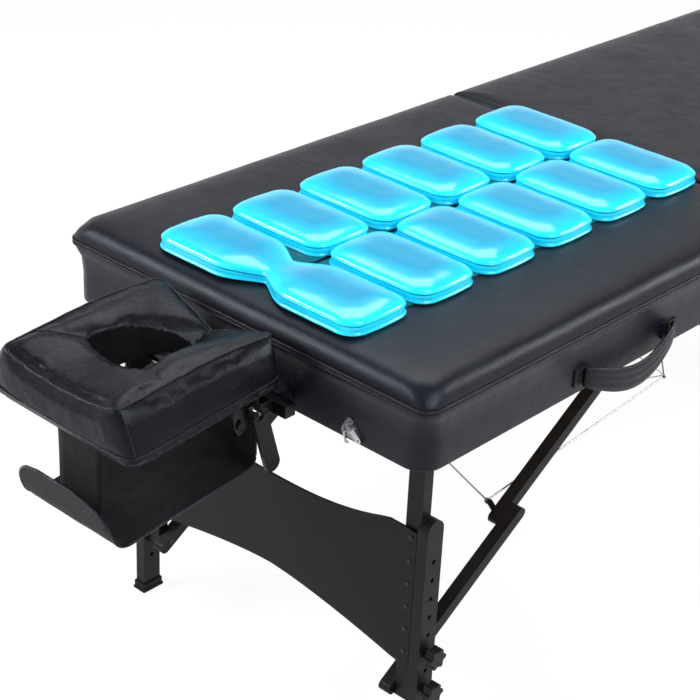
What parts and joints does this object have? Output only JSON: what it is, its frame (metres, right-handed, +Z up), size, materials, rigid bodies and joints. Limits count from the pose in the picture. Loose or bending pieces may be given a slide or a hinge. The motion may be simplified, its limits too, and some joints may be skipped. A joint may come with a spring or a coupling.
{
  "type": "folding massage table",
  "caption": "Padded folding massage table with height-adjustable legs, cable bracing, face cradle, arm sling and gel pillow overlay.",
  "frame": {"origin": "middle of the bounding box on the floor", "axes": "+X from the head end to the foot end, +Y to the far side, +Z up"},
  "size_m": [2.1756, 0.7908, 0.7573],
  "materials": {
    "vinyl": "satin",
    "wood": "satin",
    "black_wood": "satin",
    "panel": "matte",
    "steel": "polished",
    "dark_steel": "satin",
    "rubber": "matte",
    "knob": "satin",
    "webbing": "matte",
    "sling": "matte",
    "cradle": "satin",
    "gel": "glossy"
  },
  "bodies": {
    "head_frame": {"head_rails": "wood", "head_deck": "wood", "head_skirt": "vinyl", "head_cushion": "vinyl", "head_hinge_leaves": "steel", "head_handle": "webbing", "head_handle_fixings": "knob", "latch_plates": "steel", "head_brackets": "dark_steel", "head_cables": "steel"},
    "foot_frame": {"foot_rails": "wood", "foot_deck": "wood", "foot_skirt": "vinyl", "foot_cushion": "vinyl", "foot_hinge_leaves": "steel", "foot_handle": "webbing", "foot_handle_fixings": "knob", "latch_keepers": "steel", "foot_brackets": "dark_steel", "foot_cables": "steel"},
    "cradle_mount": {"cradle_base": "cradle", "cradle_rod": "steel"},
    "cradle_head": {"cradle_ears": "cradle", "cradle_platform": "wood", "cradle_cushion": "vinyl", "arm_sling": "sling"},
    "cam_lever": {"cradle_lever": "cradle"},
    "near_latch_arm": {"near_latch_lever": "steel"},
    "far_latch_arm": {"far_latch_lever": "steel"},
    "near_latch_link": {"near_latch_hook": "steel"},
    "far_latch_link": {"far_latch_hook": "steel"},
    "gel_overlay": {"gel_pad": "gel"},
    "head_legs": {"head_upper_legs": "black_wood", "head_panel": "panel", "head_leg_bolts": "steel"},
    "head_upper_brace": {"head_upper_links": "black_wood"},
    "head_knee_plate": {"head_knee_bolts": "steel"},
    "head_lower_brace": {"head_lower_links": "black_wood"},
    "head_near_leg_extension": {"head_near_extension": "black_wood", "head_near_foot": "rubber"},
    "head_near_upper_star_knob": {"head_near_upper_knob": "knob"},
    "head_near_lower_star_knob": {"head_near_lower_knob": "knob"},
    "head_far_leg_extension": {"head_far_extension": "black_wood", "head_far_foot": "rubber"},
    "head_far_upper_star_knob": {"head_far_upper_knob": "knob"},
    "head_far_lower_star_knob": {"head_far_lower_knob": "knob"},
    "foot_legs": {"foot_upper_legs": "black_wood", "foot_panel": "panel", "foot_leg_bolts": "steel"},
    "foot_upper_brace": {"foot_upper_links": "black_wood"},
    "foot_knee_plate": {"foot_knee_bolts": "steel"},
    "foot_lower_brace": {"foot_lower_links": "black_wood"},
    "foot_near_leg_extension": {"foot_near_extension": "black_wood", "foot_near_foot": "rubber"},
    "foot_near_upper_star_knob": {"foot_near_upper_knob": "knob"},
    "foot_near_lower_star_knob": {"foot_near_lower_knob": "knob"},
    "foot_far_leg_extension": {"foot_far_extension": "black_wood", "foot_far_foot": "rubber"},
    "foot_far_upper_star_knob": {"foot_far_upper_knob": "knob"},
    "foot_far_lower_star_knob": {"foot_far_lower_knob": "knob"}
  },
  "joints": [
    {"name": "centre_fold", "type": "hinge", "parent": "head_frame", "child": "foot_frame", "pos_m": [0.16597, 0.0126, 0.58], "axis": [0, 1, 0], "range_deg": [0, 180], "deforming": ["head_cables", "foot_cables"]},
    {"name": "head_leg_fold", "type": "hinge", "parent": "head_frame", "child": "head_legs", "pos_m": [-0.64803, 0.0126, 0.617], "axis": [0, -1, 0], "range_deg": [0, 90]},
    {"name": "head_upper_brace_fold", "type": "hinge", "parent": "head_frame", "child": "head_upper_brace", "pos_m": [0.11197, 0.0126, 0.617], "axis": [0, 1, 0], "range_deg": [0, 35.48]},
    {"name": "head_lower_brace_fold", "type": "hinge", "parent": "head_legs", "child": "head_lower_brace", "pos_m": [-0.64803, 0.0126, 0.124], "axis": [0, -1, 0], "range_deg": [0, 53.37]},
    {"name": "head_knee_plate_turn", "type": "hinge", "parent": "head_upper_brace", "child": "head_knee_plate", "pos_m": [-0.38003, 0.0126, 0.29785], "axis": [0, 1, 0], "range_deg": [0, 90]},
    {"name": "head_near_height", "type": "slide", "parent": "head_legs", "child": "head_near_leg_extension", "axis": [0, 0, -1], "range_m": [0, 0.1675]},
    {"name": "head_near_upper_knob_turn", "type": "hinge", "parent": "head_legs", "child": "head_near_upper_star_knob", "pos_m": [-0.64803, -0.3244, 0.2055], "axis": [0, -1, 0], "continuous": true},
    {"name": "head_near_lower_knob_turn", "type": "hinge", "parent": "head_legs", "child": "head_near_lower_star_knob", "pos_m": [-0.64803, -0.3244, 0.1385], "axis": [0, -1, 0], "continuous": true},
    {"name": "head_far_height", "type": "slide", "parent": "head_legs", "child": "head_far_leg_extension", "axis": [0, 0, -1], "range_m": [0, 0.1675]},
    {"name": "head_far_upper_knob_turn", "type": "hinge", "parent": "head_legs", "child": "head_far_upper_star_knob", "pos_m": [-0.64803, 0.3496, 0.2055], "axis": [0, 1, 0], "continuous": true},
    {"name": "head_far_lower_knob_turn", "type": "hinge", "parent": "head_legs", "child": "head_far_lower_star_knob", "pos_m": [-0.64803, 0.3496, 0.1385], "axis": [0, 1, 0], "continuous": true},
    {"name": "foot_leg_fold", "type": "hinge", "parent": "foot_frame", "child": "foot_legs", "pos_m": [0.97997, 0.0126, 0.617], "axis": [0, 1, 0], "range_deg": [0, 90]},
    {"name": "foot_upper_brace_fold", "type": "hinge", "parent": "foot_frame", "child": "foot_upper_brace", "pos_m": [0.21997, 0.0126, 0.617], "axis": [0, -1, 0], "range_deg": [0, 35.48]},
    {"name": "foot_lower_brace_fold", "type": "hinge", "parent": "foot_legs", "child": "foot_lower_brace", "pos_m": [0.97997, 0.0126, 0.124], "axis": [0, 1, 0], "range_deg": [0, 53.37]},
    {"name": "foot_knee_plate_turn", "type": "hinge", "parent": "foot_upper_brace", "child": "foot_knee_plate", "pos_m": [0.71197, 0.0126, 0.29785], "axis": [0, -1, 0], "range_deg": [0, 90]},
    {"name": "foot_near_height", "type": "slide", "parent": "foot_legs", "child": "foot_near_leg_extension", "axis": [0, 0, -1], "range_m": [0, 0.1675]},
    {"name": "foot_near_upper_knob_turn", "type": "hinge", "parent": "foot_legs", "child": "foot_near_upper_star_knob", "pos_m": [0.97997, -0.2244, 0.2055], "axis": [0, -1, 0], "continuous": true},
    {"name": "foot_near_lower_knob_turn", "type": "hinge", "parent": "foot_legs", "child": "foot_near_lower_star_knob", "pos_m": [0.97997, -0.2244, 0.1385], "axis": [0, -1, 0], "continuous": true},
    {"name": "foot_far_height", "type": "slide", "parent": "foot_legs", "child": "foot_far_leg_extension", "axis": [0, 0, -1], "range_m": [0, 0.1675]},
    {"name": "foot_far_upper_knob_turn", "type": "hinge", "parent": "foot_legs", "child": "foot_far_upper_star_knob", "pos_m": [0.97997, 0.2496, 0.2055], "axis": [0, 1, 0], "continuous": true},
    {"name": "foot_far_lower_knob_turn", "type": "hinge", "parent": "foot_legs", "child": "foot_far_lower_star_knob", "pos_m": [0.97997, 0.2496, 0.1385], "axis": [0, 1, 0], "continuous": true},
    {"name": "cradle_slide", "type": "slide", "parent": "head_frame", "child": "cradle_mount", "axis": [-1, 0, 0], "range_m": [0, 0.12]},
    {"name": "cradle_tilt", "type": "hinge", "parent": "cradle_mount", "child": "cradle_head", "pos_m": [-0.82103, 0.0126, 0.609], "axis": [0, 1, 0], "range_deg": [-15, 15]},
    {"name": "cam_lever_turn", "type": "hinge", "parent": "cradle_mount", "child": "cam_lever", "pos_m": [-0.82103, -0.1134, 0.609], "axis": [-1, 0, 0], "range_deg": [0, 90]},
    {"name": "near_latch_turn", "type": "hinge", "parent": "head_frame", "child": "near_latch_arm", "pos_m": [-0.74703, -0.2248, 0.6074], "axis": [-1, 0, 0], "range_deg": [0, 90]},
    {"name": "near_latch_hook_swing", "type": "hinge", "parent": "head_frame", "child": "near_latch_link", "pos_m": [-0.74703, -0.2134, 0.599], "axis": [1, 0, 0], "range_deg": [0, 30]},
    {"name": "far_latch_turn", "type": "hinge", "parent": "head_frame", "child": "far_latch_arm", "pos_m": [-0.74703, 0.25, 0.6074], "axis": [1, 0, 0], "range_deg": [0, 90]},
    {"name": "far_latch_hook_swing", "type": "hinge", "parent": "head_frame", "child": "far_latch_link", "pos_m": [-0.74703, 0.2386, 0.599], "axis": [-1, 0, 0], "range_deg": [0, 30]},
    {"name": "gel_lift", "type": "slide", "parent": "head_frame", "child": "gel_overlay", "axis": [0, 0, 1], "range_m": [0, 0.1]}
  ],
  "couplings": [
    {"joint": "head_leg_fold", "follows": "centre_fold", "ratio": 0.5},
    {"joint": "head_knee_plate_turn", "follows": "centre_fold", "ratio": 0.5},
    {"joint": "head_upper_brace_fold", "follows": "centre_fold", "ratio": 0.19706},
    {"joint": "head_lower_brace_fold", "follows": "centre_fold", "ratio": 0.29642},
    {"joint": "foot_leg_fold", "follows": "centre_fold", "ratio": 0.5},
    {"joint": "foot_knee_plate_turn", "follows": "centre_fold", "ratio": 0.5},
    {"joint": "foot_upper_brace_fold", "follows": "centre_fold", "ratio": 0.19706},
    {"joint": "foot_lower_brace_fold", "follows": "centre_fold", "ratio": 0.29642}
  ]
}
